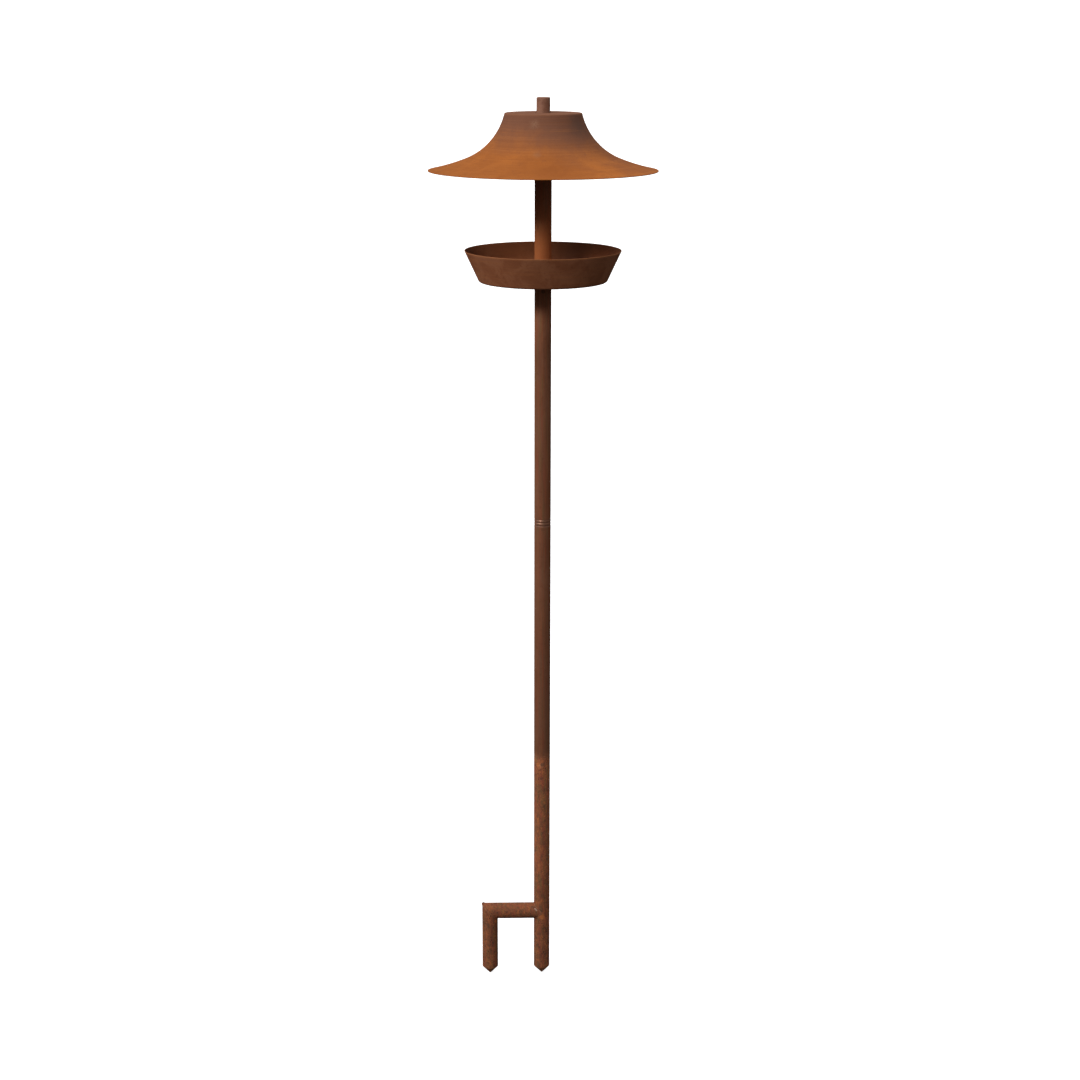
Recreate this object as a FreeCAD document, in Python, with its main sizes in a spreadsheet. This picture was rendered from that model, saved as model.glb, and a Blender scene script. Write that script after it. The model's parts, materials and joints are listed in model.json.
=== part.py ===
import FreeCAD, Part
import math
import os

import Sketcher

# A bird feeder on a sectional tube stake: a two-prong ground fork, three plug-in tube sections,
# a seed tray held between two sections and a flared roof that drops over the topmost spigot.
# Millimetres. +Z is up. The origin is on the pole's axis at the underside of the fork's crossbar,
# which is the soil line when the fork is pushed in.

SHEET = "Dimensions"

DIMENSIONS = [
    ("tube_radius", 11.0),
    ("bore_radius", 9.0),
    ("tube_edge", 0.4),
    ("prong_depth", 84.0),
    ("prong_spacing", 72.4),
    ("point_height", 11.0),
    ("point_tip_radius", 0.8),
    ("point_plug_length", 16.0),
    ("fork_shoulder", 244.8),
    ("middle_length", 333.0),
    ("upper_length", 315.2),
    ("top_length", 210.0),
    ("groove_pitch", 4.1),
    ("groove_width", 2.2),
    ("groove_depth", 0.5),
    ("groove_count", 3),
    ("spigot_radius", 8.7),
    ("spigot_grip", 38.0),
    ("spigot_rise", 20.3),
    ("spigot_edge", 0.9),
    ("plug_radius", 2.5),
    ("plug_drop", 12.0),
    ("plug_crown", 0.25),
    ("weld_height", 0.5),
    ("weld_reach", 1.8),
    ("corner_weld_height", 0.4),
    ("corner_weld_width", 2.4),
    ("sheet_thickness", 1.2),
    ("sheet_edge", 0.45),
    ("tray_rim_radius", 101.2),
    ("tray_floor_radius", 82.6),
    ("tray_height", 40.0),
    ("tray_corner_radius", 2.0),
    ("tray_hole_radius", 9.3),
    ("drain_radius", 2.0),
    ("drain_circle_radius", 58.0),
    ("drain_count", 4),
    ("roof_hole_radius", 10.0),
    ("crown_radius", 49.5),
    ("crown_edge_radius", 1.8),
    ("flare_start_angle", 14.3),
    ("flare_middle_angle", 68.1),
    ("flare_end_angle", 78.7),
    ("upper_flare_radius", 81.3),
    ("lower_flare_radius", 275.7),
]

EPSILON = 1e-9


def cell(alias):
    return f"{SHEET}.{alias}"


def fill_sheet(doc):
    sheet = doc.addObject("Spreadsheet::Sheet", SHEET)
    for row, (alias, value) in enumerate(DIMENSIONS, start=1):
        sheet.set(f"A{row}", alias)
        sheet.set(f"B{row}", str(value))
        sheet.setAlias(f"B{row}", alias)
    doc.recompute()
    return sheet


def number(holder, expression):
    """The present value of an expression, used to place sketch geometry before it is constrained."""
    value = holder.evalExpression(expression)
    return float(getattr(value, "Value", value))


# Bodies and sketches

def new_body(doc, label, height=None, across=None):
    body = doc.addObject("PartDesign::Body", label)
    body.Label = label
    if height:
        body.setExpression("Placement.Base.z", height)
    if across:
        body.setExpression("Placement.Base.x", across)
    return body


def new_sketch(body, plane, name):
    sketch = body.newObject("Sketcher::SketchObject", name)
    origin = [part for part in body.Origin.OriginFeatures if part.Role == plane]
    sketch.AttachmentSupport = (origin[0], "")
    sketch.MapMode = "FlatFace"
    return sketch


def fix_point(sketch, edge, vertex, across, up):
    """Hold one end or centre of a sketch edge at two expressions; a zero lies on the axis itself."""
    for kind, expression, axis in (("DistanceX", across, -2), ("DistanceY", up, -1)):
        value = number(sketch, expression)
        if abs(value) < EPSILON:
            sketch.addConstraint(Sketcher.Constraint("PointOnObject", edge, vertex, axis))
            continue
        index = sketch.addConstraint(Sketcher.Constraint(kind, -1, 1, edge, vertex, value))
        sketch.setExpression(f"Constraints[{index}]", expression)


def arc_between(start, end, centre):
    """The shorter arc from start to end about the centre, and whether it was turned round."""
    first = math.atan2(start[1] - centre[1], start[0] - centre[0])
    last = math.atan2(end[1] - centre[1], end[0] - centre[0])
    turn = (last - first) % (2 * math.pi)
    turned = turn > math.pi
    if turned:
        first, last = last, first
    radius = math.hypot(start[0] - centre[0], start[1] - centre[1])
    circle = Part.Circle(FreeCAD.Vector(*centre, 0), FreeCAD.Vector(0, 0, 1), radius)
    return Part.ArcOfCircle(circle, first, last), turned


def draw_profile(sketch, corners):
    """A closed outline. Each corner is (across, up), or (across, up, centre across, centre up, radius)
    where the edge that starts there is an arc; all of them are expressions."""
    places = [[number(sketch, value) for value in corner] for corner in corners]
    ends = []
    for index, place in enumerate(places):
        start, end = place[:2], places[(index + 1) % len(places)][:2]
        if len(place) == 2:
            edge = Part.LineSegment(FreeCAD.Vector(*start, 0), FreeCAD.Vector(*end, 0))
            turned = False
        else:
            edge, turned = arc_between(start, end, place[2:4])
        sketch.addGeometry(edge, False)
        ends.append((2, 1) if turned else (1, 2))
    for index, corner in enumerate(corners):
        before = (index - 1) % len(corners)
        joined = Sketcher.Constraint("Coincident", before, ends[before][1], index, ends[index][0])
        sketch.addConstraint(joined)
        fix_point(sketch, index, ends[index][0], corner[0], corner[1])
        if len(corner) > 2:
            bound = sketch.addConstraint(Sketcher.Constraint("Radius", index, places[index][4]))
            sketch.setExpression(f"Constraints[{bound}]", corner[4])


def draw_circle(sketch, radius, across="0", up="0"):
    centre = FreeCAD.Vector(number(sketch, across), number(sketch, up), 0)
    size = number(sketch, radius)
    index = sketch.addGeometry(Part.Circle(centre, FreeCAD.Vector(0, 0, 1), size), False)
    if abs(centre.x) < EPSILON and abs(centre.y) < EPSILON:
        sketch.addConstraint(Sketcher.Constraint("Coincident", index, 3, -1, 1))
    else:
        fix_point(sketch, index, 3, across, up)
    bound = sketch.addConstraint(Sketcher.Constraint("Radius", index, size))
    sketch.setExpression(f"Constraints[{bound}]", radius)


def revolve(body, corners, name="Turned", kind="Revolution"):
    """Turn an outline about the body's own Z axis; kind Groove cuts it away instead."""
    sketch = new_sketch(body, "XZ_Plane", f"{name}Profile")
    draw_profile(sketch, corners)
    feature = body.newObject(f"PartDesign::{kind}", name)
    feature.Profile = sketch
    feature.ReferenceAxis = (sketch, ["V_Axis"])
    feature.Angle = 360
    body.Document.recompute()
    return feature


def pocket_through(body, sketch, name):
    """Cut right through the body to both sides of the sketch, and make sure that something went."""
    before = body.Shape.Volume
    feature = body.newObject("PartDesign::Pocket", name)
    feature.Profile = sketch
    feature.Type = "ThroughAll"
    feature.Midplane = True
    body.Document.recompute()
    if body.Shape.Volume >= before - EPSILON:
        raise RuntimeError(f"{body.Label}: {name} cut nothing")
    return feature


def soften_rims(body, radius_over, size):
    """Round the cut edge of a sheet: every circular edge that is wider than the given radius."""
    tip = body.Tip
    names = []
    for index, edge in enumerate(tip.Shape.Edges, start=1):
        if isinstance(edge.Curve, Part.Circle) and edge.Curve.Radius > radius_over:
            names.append(f"Edge{index}")
    feature = body.newObject("PartDesign::Fillet", "SoftRim")
    feature.Base = (tip, names)
    feature.setExpression("Radius", size)
    body.Document.recompute()
    return feature


# Turned and drawn pieces

def tube(doc, label, length, height):
    """A round tube with both outer edges broken."""
    wall, bore, edge = cell("tube_radius"), cell("bore_radius"), cell("tube_edge")
    body = new_body(doc, label, height)
    revolve(body, [
        (bore, "0"),
        (f"{wall} - {edge}", "0"),
        (wall, edge),
        (wall, f"{length} - {edge}"),
        (f"{wall} - {edge}", length),
        (bore, length),
    ])
    return body


def drill_plug_holes(body, height):
    """The pair of holes, front and back, that the spigot's plug welds fill."""
    sketch = new_sketch(body, "XZ_Plane", "PlugHoleSketch")
    draw_circle(sketch, cell("plug_radius"), "0", height)
    pocket_through(body, sketch, "PlugHoles")


def cut_ring_grooves(body, length):
    """Shallow turned rings, the first of them half a ring that bevels the tube's upper end."""
    pitch, width, depth = cell("groove_pitch"), cell("groove_width"), cell("groove_depth")
    wall = cell("tube_radius")
    cut = revolve(body, [
        (f"{wall} - {depth}", length),
        (f"{wall} + {depth}", f"{length} - {width}"),
        (f"{wall} + {depth}", f"{length} + {width}"),
    ], "RingGroove", "Groove")
    rings = body.newObject("PartDesign::LinearPattern", "RingGrooves")
    rings.Originals = [cut]
    rings.Direction = (cut.Profile[0], ["V_Axis"])
    rings.Reversed = True
    count = cell("groove_count")
    rings.setExpression("Length", f"{pitch} * ({count} - 1)")
    rings.setExpression("Occurrences", count)
    body.Tip = rings
    body.Document.recompute()


def spigot(doc, label, shoulder):
    """A turned pin: the thicker end is pressed into its tube and the thinner end stands proud."""
    bore, pin, rise = cell("bore_radius"), cell("spigot_radius"), cell("spigot_rise")
    grip, edge = cell("spigot_grip"), cell("spigot_edge")
    body = new_body(doc, label, shoulder)
    revolve(body, [
        ("0", f"-{grip}"),
        (f"{bore} - {edge}", f"-{grip}"),
        (bore, f"{edge} - {grip}"),
        (bore, "0"),
        (pin, "0"),
        (pin, f"{rise} - {edge}"),
        (f"{pin} - {edge}", rise),
        ("0", rise),
    ])
    return body


def prong_point(doc, label, across=None):
    """A turned 45 degree point with a plug that is pressed into the prong's tube."""
    wall, bore, rise = cell("tube_radius"), cell("bore_radius"), cell("point_height")
    tip, plug = cell("point_tip_radius"), cell("point_plug_length")
    body = new_body(doc, label, f"-{cell('prong_depth')}", across)
    revolve(body, [
        ("0", "0"),
        (tip, "0"),
        (wall, rise),
        (bore, rise),
        (bore, f"{rise} + {plug}"),
        ("0", f"{rise} + {plug}"),
    ])
    return body


def seed_tray(doc, height):
    """A spun dish with a conical wall, a hole over the spigot and four small drain holes."""
    sheet, inner = cell("sheet_thickness"), cell("tray_corner_radius")
    rim, floor, rise = cell("tray_rim_radius"), cell("tray_floor_radius"), cell("tray_height")
    hole = cell("tray_hole_radius")
    lean = f"atan(({rim} - {floor}) / {rise})"
    outer = f"({inner} + {sheet})"
    bend = f"({floor} - {outer} * tan((90 deg - {lean}) / 2))"
    body = new_body(doc, "seed_tray", height)
    revolve(body, [
        (hole, "0"),
        (bend, "0", bend, outer, outer),
        (f"{bend} + {outer} * cos({lean})", f"{outer} - {outer} * sin({lean})"),
        (rim, rise),
        (f"{rim} - {sheet} / cos({lean})", rise),
        (
            f"{bend} + {inner} * cos({lean})",
            f"{outer} - {inner} * sin({lean})",
            bend,
            outer,
            inner,
        ),
        (bend, sheet),
        (hole, sheet),
    ], "Dish")
    soften_rims(body, number(body, f"{rim} - 2 * {sheet}"), cell("sheet_edge"))
    sketch = new_sketch(body, "XY_Plane", "DrainSketch")
    draw_circle(sketch, cell("drain_radius"), cell("drain_circle_radius"), "0")
    drain = pocket_through(body, sketch, "Drain")
    ring = body.newObject("PartDesign::PolarPattern", "Drains")
    ring.Originals = [drain]
    ring.Axis = (sketch, ["N_Axis"])
    ring.Angle = 360
    ring.setExpression("Occurrences", cell("drain_count"))
    body.Tip = ring
    doc.recompute()
    return body


def offset_point(centre, radius, angle):
    """The point of an arc whose surface normal leans up by the given angle, seen from its centre."""
    return (f"{centre[0]} - {radius} * cos({angle})", f"{centre[1]} - {radius} * sin({angle})")


def roof(doc, height):
    """A spun shell: flat crown, then two tangent concave arcs that flare out to a thin rim."""
    sheet, edge = cell("sheet_thickness"), cell("crown_edge_radius")
    crown, hole = cell("crown_radius"), cell("roof_hole_radius")
    start, middle, end = (cell(f"flare_{place}_angle") for place in ("start", "middle", "end"))
    steep, flat = cell("upper_flare_radius"), cell("lower_flare_radius")
    corner = (f"({crown} - {edge})", f"({sheet} - {edge})")
    outer_start = (f"{corner[0]} + {edge} * cos({start})", f"{corner[1]} + {edge} * sin({start})")
    inner_edge = f"({edge} - {sheet})"
    inner_start = (
        f"{corner[0]} + {inner_edge} * cos({start})",
        f"{corner[1]} + {inner_edge} * sin({start})",
    )
    upper = (
        f"({outer_start[0]} + {steep} * cos({start}))",
        f"({outer_start[1]} + {steep} * sin({start}))",
    )
    change = f"({flat} - {steep})"
    lower = (
        f"({upper[0]} + {change} * cos({middle}))",
        f"({upper[1]} + {change} * sin({middle}))",
    )
    body = new_body(doc, "roof", height)
    revolve(body, [
        (hole, "0"),
        (corner[0], "0", *corner, inner_edge),
        (*inner_start, *upper, f"{steep} + {sheet}"),
        (*offset_point(upper, f"({steep} + {sheet})", middle), *lower, f"{flat} + {sheet}"),
        offset_point(lower, f"({flat} + {sheet})", end),
        (*offset_point(lower, flat, end), *lower, flat),
        (*offset_point(upper, steep, middle), *upper, steep),
        (*outer_start, *corner, edge),
        (corner[0], sheet),
        (hole, sheet),
    ], "Shell")
    soften_rims(body, number(body, f"{crown} * 2"), cell("sheet_edge"))
    return body


# Fork tubes

def padded_tube(body, plane, length, reverse=False):
    sketch = new_sketch(body, plane, "RingSketch")
    draw_circle(sketch, cell("tube_radius"))
    draw_circle(sketch, cell("bore_radius"))
    feature = body.newObject("PartDesign::Pad", "Tube")
    feature.Profile = sketch
    feature.Reversed = reverse
    feature.setExpression("Length", length)
    body.Document.recompute()
    return feature


def mitre(body, corners):
    """Cut one end off at 45 degrees, seen from the front."""
    sketch = new_sketch(body, "XZ_Plane", "MitreSketch")
    draw_profile(sketch, corners)
    pocket_through(body, sketch, "Mitre")


def fork_crossbar(doc):
    """The horizontal tube: mitred at its outer end and saddled onto the stem at the other."""
    wall, reach = cell("tube_radius"), cell("prong_spacing")
    body = new_body(doc, "fork_crossbar", wall)
    padded_tube(body, "YZ_Plane", f"{reach} + {wall}", reverse=True)
    mitre(body, [
        (f"-{reach} - {wall}", wall),
        (f"-{reach} - {wall}", f"-{wall}"),
        (f"{wall} - {reach}", f"-{wall}"),
    ])
    sketch = new_sketch(body, "XY_Plane", "SaddleSketch")
    draw_circle(sketch, wall)
    pocket_through(body, sketch, "Saddle")
    return body


def fork_side_prong(doc):
    """The second prong: a tube whose upper end is mitred to meet the crossbar."""
    wall, depth, rise = cell("tube_radius"), cell("prong_depth"), cell("point_height")
    length = f"({depth} - {rise} + 2 * {wall})"
    body = new_body(doc, "fork_side_prong", f"{rise} - {depth}", f"-{cell('prong_spacing')}")
    padded_tube(body, "XY_Plane", length)
    mitre(body, [
        (f"-{wall}", length),
        (wall, length),
        (wall, f"{length} - 2 * {wall}"),
    ])
    return body


# Welds

def bar(doc, name, radius, length, axis, base):
    """A plain cylinder centred at base (three expressions) and lying along X, Y or Z."""
    turns = {
        "X": FreeCAD.Rotation(FreeCAD.Vector(0, 1, 0), 90),
        "Y": FreeCAD.Rotation(FreeCAD.Vector(1, 0, 0), 90),
        "Z": FreeCAD.Rotation(),
    }
    back = {"X": ("x", "-"), "Y": ("y", "+"), "Z": ("z", "-")}[axis]
    shape = doc.addObject("Part::Cylinder", name)
    shape.setExpression("Radius", radius)
    shape.setExpression("Height", length)
    shape.Placement = FreeCAD.Placement(FreeCAD.Vector(), turns[axis])
    for letter, place in zip("xyz", base):
        if letter == back[0]:
            place = f"{place} {back[1]} ({length}) / 2"
        shape.setExpression(f"Placement.Base.{letter}", place)
    return shape


def boolean(doc, kind, name, base, tool):
    shape = doc.addObject(f"Part::{kind}", name)
    shape.Base = base
    shape.Tool = tool
    return shape


def pipe(doc, name, radius, inner, length, axis, base):
    """A hollow bar, as the difference of two plain ones."""
    outer = bar(doc, f"{name}Outer", radius, length, axis, base)
    hole = bar(doc, f"{name}Hole", inner, f"{length} + 2", axis, base)
    return boolean(doc, "Cut", name, outer, hole)


def fork_crossbar_weld(doc):
    """A low bead that follows the saddle seam between crossbar and stem."""
    wall, rise, reach = cell("tube_radius"), cell("weld_height"), cell("weld_reach")
    length = f"4 * {wall}"
    centre = ("0", "0", wall)
    sleeve = pipe(doc, "SaddleSleeve", f"{wall} + {rise}", wall, length, "X", centre)
    collar = pipe(doc, "SaddleCollar", f"{wall} + {reach}", wall, length, "Z", centre)
    ring = boolean(doc, "Common", "SaddleRing", sleeve, collar)
    side = doc.addObject("Part::Box", "CrossbarSide")
    for size in ("Length", "Width", "Height"):
        side.setExpression(size, length)
    side.setExpression("Placement.Base.x", f"-{length}")
    side.setExpression("Placement.Base.y", f"-{length} / 2")
    side.setExpression("Placement.Base.z", f"{wall} - {length} / 2")
    weld = boolean(doc, "Common", "fork_crossbar_weld", ring, side)
    weld.Label = "fork_crossbar_weld"
    return weld


def fork_corner_weld(doc):
    """A low bead round the mitre seam: half of it lies on each tube."""
    wall, rise, wide = cell("tube_radius"), cell("corner_weld_height"), cell("corner_weld_width")
    length = f"4 * {wall}"
    corner = (f"-{cell('prong_spacing')}", "0", wall)
    mitre_turn = FreeCAD.Rotation(FreeCAD.Vector(0, 1, 0), -45)
    halves = []
    for name, axis, side in (("Crossbar", "X", 1), ("Prong", "Z", -1)):
        band = pipe(doc, f"{name}Band", f"{wall} + {rise}", wall, length, axis, corner)
        slab = doc.addObject("Part::Box", f"{name}Slab")
        slab.setExpression("Length", f"{wide} / 2")
        slab.setExpression("Width", length)
        slab.setExpression("Height", length)
        slab.Placement = FreeCAD.Placement(FreeCAD.Vector(), mitre_turn)
        shift = f"{length} / 2 * sin(45)"
        near = "0" if side > 0 else f"{wide} / 2 * cos(45)"
        slab.setExpression("Placement.Base.x", f"{corner[0]} + {shift} - {near}")
        slab.setExpression("Placement.Base.y", f"-{length} / 2")
        slab.setExpression("Placement.Base.z", f"{corner[2]} - {shift} - {near}")
        halves.append(boolean(doc, "Common", f"{name}Bead", band, slab))
    weld = boolean(doc, "Fuse", "fork_corner_weld", *halves)
    weld.Label = "fork_corner_weld"
    return weld


def plug_welds(doc, label, shoulder):
    """Two weld nuggets, front and back, that fill the tube's holes down to the spigot."""
    wall, grip = cell("tube_radius"), cell("bore_radius")
    crown, plug = cell("plug_crown"), cell("plug_radius")
    centre = ("0", "0", f"{shoulder} - {cell('plug_drop')}")
    length = f"4 * {wall}"
    skin = pipe(doc, f"{label}_skin", f"{wall} + {crown}", grip, length, "Z", centre)
    pins = bar(doc, f"{label}_pins", plug, length, "Y", centre)
    weld = boolean(doc, "Common", label, skin, pins)
    weld.Label = label
    return weld


def pole_section(doc, name, length, base):
    """One plug-in section: a tube, its spigot and the plug welds that hold the spigot."""
    shoulder = f"({base} + {length})"
    body = tube(doc, f"{name}_tube", length, base)
    drill_plug_holes(body, f"{length} - {cell('plug_drop')}")
    if name == "middle":
        cut_ring_grooves(body, length)
    pieces = [body, spigot(doc, f"{name}_spigot", shoulder)]
    return pieces + [plug_welds(doc, f"{name}_plug_welds", shoulder)], shoulder


def ground_fork(doc):
    """Everything below the first joint: stem, crossbar, side prong, points, welds and spigot."""
    depth, rise, shoulder = cell("prong_depth"), cell("point_height"), cell("fork_shoulder")
    length = f"({shoulder} + {depth} - {rise})"
    stem = tube(doc, "fork_stem", length, f"{rise} - {depth}")
    drill_plug_holes(stem, f"{length} - {cell('plug_drop')}")
    return [
        stem,
        fork_crossbar(doc),
        fork_side_prong(doc),
        prong_point(doc, "fork_stem_point"),
        prong_point(doc, "fork_side_point", f"-{cell('prong_spacing')}"),
        fork_crossbar_weld(doc),
        fork_corner_weld(doc),
        spigot(doc, "fork_spigot", shoulder),
        plug_welds(doc, "fork_plug_welds", shoulder),
    ]


def check_document(doc, pieces):
    for item in doc.Objects:
        if "Invalid" in item.State or "Error" in item.State:
            raise RuntimeError(f"{item.Name} did not compute: {item.State}")
    for piece in pieces:
        if piece.Shape.isNull() or not piece.Shape.isValid():
            raise RuntimeError(f"{piece.Label} has no valid shape")


def main():
    doc = FreeCAD.newDocument("BirdFeeder")
    fill_sheet(doc)
    pieces = ground_fork(doc)
    middle, joint = pole_section(doc, "middle", cell("middle_length"), cell("fork_shoulder"))
    upper, tray_seat = pole_section(doc, "upper", cell("upper_length"), joint)
    tray = seed_tray(doc, tray_seat)
    top_base = f"({tray_seat} + {cell('sheet_thickness')})"
    top, roof_seat = pole_section(doc, "top", cell("top_length"), top_base)
    pieces += middle + upper + [tray] + top + [roof(doc, roof_seat)]
    doc.recompute()
    check_document(doc, pieces)
    os.makedirs("parts", exist_ok=True)
    for piece in pieces:
        piece.Shape.exportStep(os.path.join("parts", f"{piece.Label}.step"))
        box = piece.Shape.BoundBox
        print(f"{piece.Label:22s} {box.ZMin:8.2f} {box.ZMax:8.2f} {piece.Shape.Volume:9.1f}")


main()
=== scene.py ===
import json
import math

import bmesh
import bpy
from mathutils import Matrix, Quaternion, Vector, noise


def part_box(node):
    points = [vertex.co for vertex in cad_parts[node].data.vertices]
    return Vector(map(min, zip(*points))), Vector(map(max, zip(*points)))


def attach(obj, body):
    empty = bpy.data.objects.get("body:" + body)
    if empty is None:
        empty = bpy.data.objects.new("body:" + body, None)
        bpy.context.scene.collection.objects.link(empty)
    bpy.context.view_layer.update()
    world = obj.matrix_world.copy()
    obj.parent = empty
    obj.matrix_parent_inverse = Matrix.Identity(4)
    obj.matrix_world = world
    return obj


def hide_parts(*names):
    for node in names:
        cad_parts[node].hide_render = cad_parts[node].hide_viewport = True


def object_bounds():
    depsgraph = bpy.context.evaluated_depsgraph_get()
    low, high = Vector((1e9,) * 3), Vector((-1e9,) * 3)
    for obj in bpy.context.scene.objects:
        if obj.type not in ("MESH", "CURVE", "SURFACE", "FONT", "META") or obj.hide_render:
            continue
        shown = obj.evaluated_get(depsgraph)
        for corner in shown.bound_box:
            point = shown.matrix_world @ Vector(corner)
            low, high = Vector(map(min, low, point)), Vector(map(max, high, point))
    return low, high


# The looks of a rusted steel bird feeder on a sectional stake. Metres, in the row frame: +Z is up,
# the pole is the Z axis and the ground fork's side prong is on the -X side.

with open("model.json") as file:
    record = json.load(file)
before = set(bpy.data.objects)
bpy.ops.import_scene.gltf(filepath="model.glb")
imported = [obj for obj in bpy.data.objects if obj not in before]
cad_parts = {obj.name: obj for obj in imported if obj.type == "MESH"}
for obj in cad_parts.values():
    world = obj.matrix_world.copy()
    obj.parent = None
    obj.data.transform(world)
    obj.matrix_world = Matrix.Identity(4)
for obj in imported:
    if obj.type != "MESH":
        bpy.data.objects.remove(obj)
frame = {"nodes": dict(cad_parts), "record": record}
cad_low, cad_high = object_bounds()
nodes = frame["nodes"]
body_of = {node: body for body, held in frame["record"]["behaviour"]["bodies"].items() for node in held}
slot_of = {part["node"]: part["material_slot"] for part in frame["record"]["subparts"]}

MM = 0.001
TAU = 2 * math.pi


# ---------------------------------------------------------------- camera, lights and floor

CAMERA_DISTANCE = 2.54
CAMERA_HEIGHT = 1.3118
CAMERA_PITCH = 14.98
CAMERA_AZIMUTH = -1.6
CAMERA_AIM = 0.073
CAMERA_ROLL = 0.1
CAMERA_LENS = 65.78

FLOOR_RADIUS = 7.0
SWEEP_RADIUS = 3.0
SWEEP_STEPS = 12
WALL_HEIGHT = 6.0
STAGE_SPOKES = 96
STAGE_GREY = (0.80, 0.80, 0.80, 1)
STAGE_GLOW = 0.75
WELD_DISTANCE = 1e-5

SUNS = {
    "side_key": {"azimuth": -76, "height": 31, "strength": 0.95, "softness": 15},
    "front_key": {"azimuth": -34, "height": 29, "strength": 1.05, "softness": 13},
}
WORLD_STRENGTH = 0.92
WORLD_LEVELS = ((0.42, 0.05), (0.56, 0.15), (1.0, 1.0))


def make_camera():
    """The camera stands in front of the pole, a little to its left, and looks down at it."""
    data = bpy.data.cameras.new("camera")
    data.lens = CAMERA_LENS
    camera = bpy.data.objects.new("camera", data)
    bpy.context.scene.collection.objects.link(camera)
    turn = math.radians(CAMERA_AZIMUTH)
    camera.location = (
        CAMERA_DISTANCE * math.sin(turn),
        -CAMERA_DISTANCE * math.cos(turn),
        cad_low.z + CAMERA_HEIGHT,
    )
    yaw = Quaternion((0, 0, 1), turn + math.radians(CAMERA_AIM))
    pitch = Quaternion((1, 0, 0), math.radians(90 - CAMERA_PITCH))
    roll = Quaternion((0, 0, 1), math.radians(CAMERA_ROLL))
    camera.rotation_mode = "QUATERNION"
    camera.rotation_quaternion = yaw @ pitch @ roll
    bpy.context.scene.camera = camera


def make_stage():
    """A plain pale floor that sweeps up into a round wall. It doesn't light the object."""
    outline = [(0.0, 0.0), (FLOOR_RADIUS, 0.0)]
    for step in range(1, SWEEP_STEPS + 1):
        angle = step / SWEEP_STEPS * math.pi / 2
        outline.append((
            FLOOR_RADIUS + SWEEP_RADIUS * math.sin(angle),
            SWEEP_RADIUS * (1 - math.cos(angle)),
        ))
    outline.append((FLOOR_RADIUS + SWEEP_RADIUS, WALL_HEIGHT))
    mesh = bpy.data.meshes.new("floor")
    made = bmesh.new()
    corners = [made.verts.new((radius, 0, cad_low.z + height)) for radius, height in outline]
    for first, second in zip(corners, corners[1:]):
        made.edges.new((first, second))
    bmesh.ops.spin(
        made, geom=made.verts[:] + made.edges[:], cent=(0, 0, 0), axis=(0, 0, 1),
        angle=TAU, steps=STAGE_SPOKES, use_merge=True,
    )
    bmesh.ops.remove_doubles(made, verts=made.verts, dist=WELD_DISTANCE)
    bmesh.ops.recalc_face_normals(made, faces=made.faces)
    if made.faces[0].normal.z < 0:
        bmesh.ops.reverse_faces(made, faces=made.faces)
    made.to_mesh(mesh)
    made.free()
    mesh.shade_smooth()
    floor = bpy.data.objects.new("floor", mesh)
    bpy.context.scene.collection.objects.link(floor)
    floor.visible_diffuse = False
    floor.visible_glossy = False
    floor.visible_shadow = False
    paint = bpy.data.materials.new("floor_paint")
    paint.use_nodes = True
    shader = paint.node_tree.nodes["Principled BSDF"]
    shader.inputs["Base Color"].default_value = STAGE_GREY
    shader.inputs["Roughness"].default_value = 1.0
    shader.inputs["Specular IOR Level"].default_value = 0.0
    shader.inputs["Emission Color"].default_value = (1, 1, 1, 1)
    shader.inputs["Emission Strength"].default_value = STAGE_GLOW
    mesh.materials.append(paint)


def make_sun(name, azimuth, height, strength, softness):
    """A sun that shines from the given azimuth (0 is the camera's side, 90 the right) and height."""
    data = bpy.data.lights.new(name, "SUN")
    data.energy = strength
    data.angle = math.radians(softness)
    light = bpy.data.objects.new(name, data)
    bpy.context.scene.collection.objects.link(light)
    turn, rise = math.radians(azimuth), math.radians(height)
    source = Vector((
        math.sin(turn) * math.cos(rise),
        -math.cos(turn) * math.cos(rise),
        math.sin(rise),
    ))
    light.rotation_mode = "QUATERNION"
    light.rotation_quaternion = source.to_track_quat("Z", "Y")


def make_world():
    """Soft white light from above that fades out towards the horizon."""
    world = bpy.data.worlds.new("studio")
    world.use_nodes = True
    bpy.context.scene.world = world
    tree = world.node_tree
    background = tree.nodes["Background"]
    coordinates = tree.nodes.new("ShaderNodeTexCoord")
    split = tree.nodes.new("ShaderNodeSeparateXYZ")
    halve = tree.nodes.new("ShaderNodeMapRange")
    halve.inputs["From Min"].default_value = -1.0
    ramp = tree.nodes.new("ShaderNodeValToRGB")
    tree.links.new(coordinates.outputs["Generated"], split.inputs[0])
    tree.links.new(split.outputs["Z"], halve.inputs["Value"])
    tree.links.new(halve.outputs["Result"], ramp.inputs[0])
    for index, (place, grey) in enumerate(WORLD_LEVELS):
        if index < 2:
            stop = ramp.color_ramp.elements[index]
            stop.position = place
        else:
            stop = ramp.color_ramp.elements.new(place)
        stop.color = (grey, grey, grey, 1)
    tree.links.new(ramp.outputs["Color"], background.inputs["Color"])
    background.inputs["Strength"].default_value = WORLD_STRENGTH


# ---------------------------------------------------------------- rust materials

# Colours that more than one material or mark uses.
# Orange of the rust blooms, also used for the painted light on the pole under the roof.
BLOOM_AND_LIGHT_ORANGE = (0.430, 0.128, 0.038)
BEAD_HIGHLIGHT_COLOUR = (0.560, 0.360, 0.270)


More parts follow.
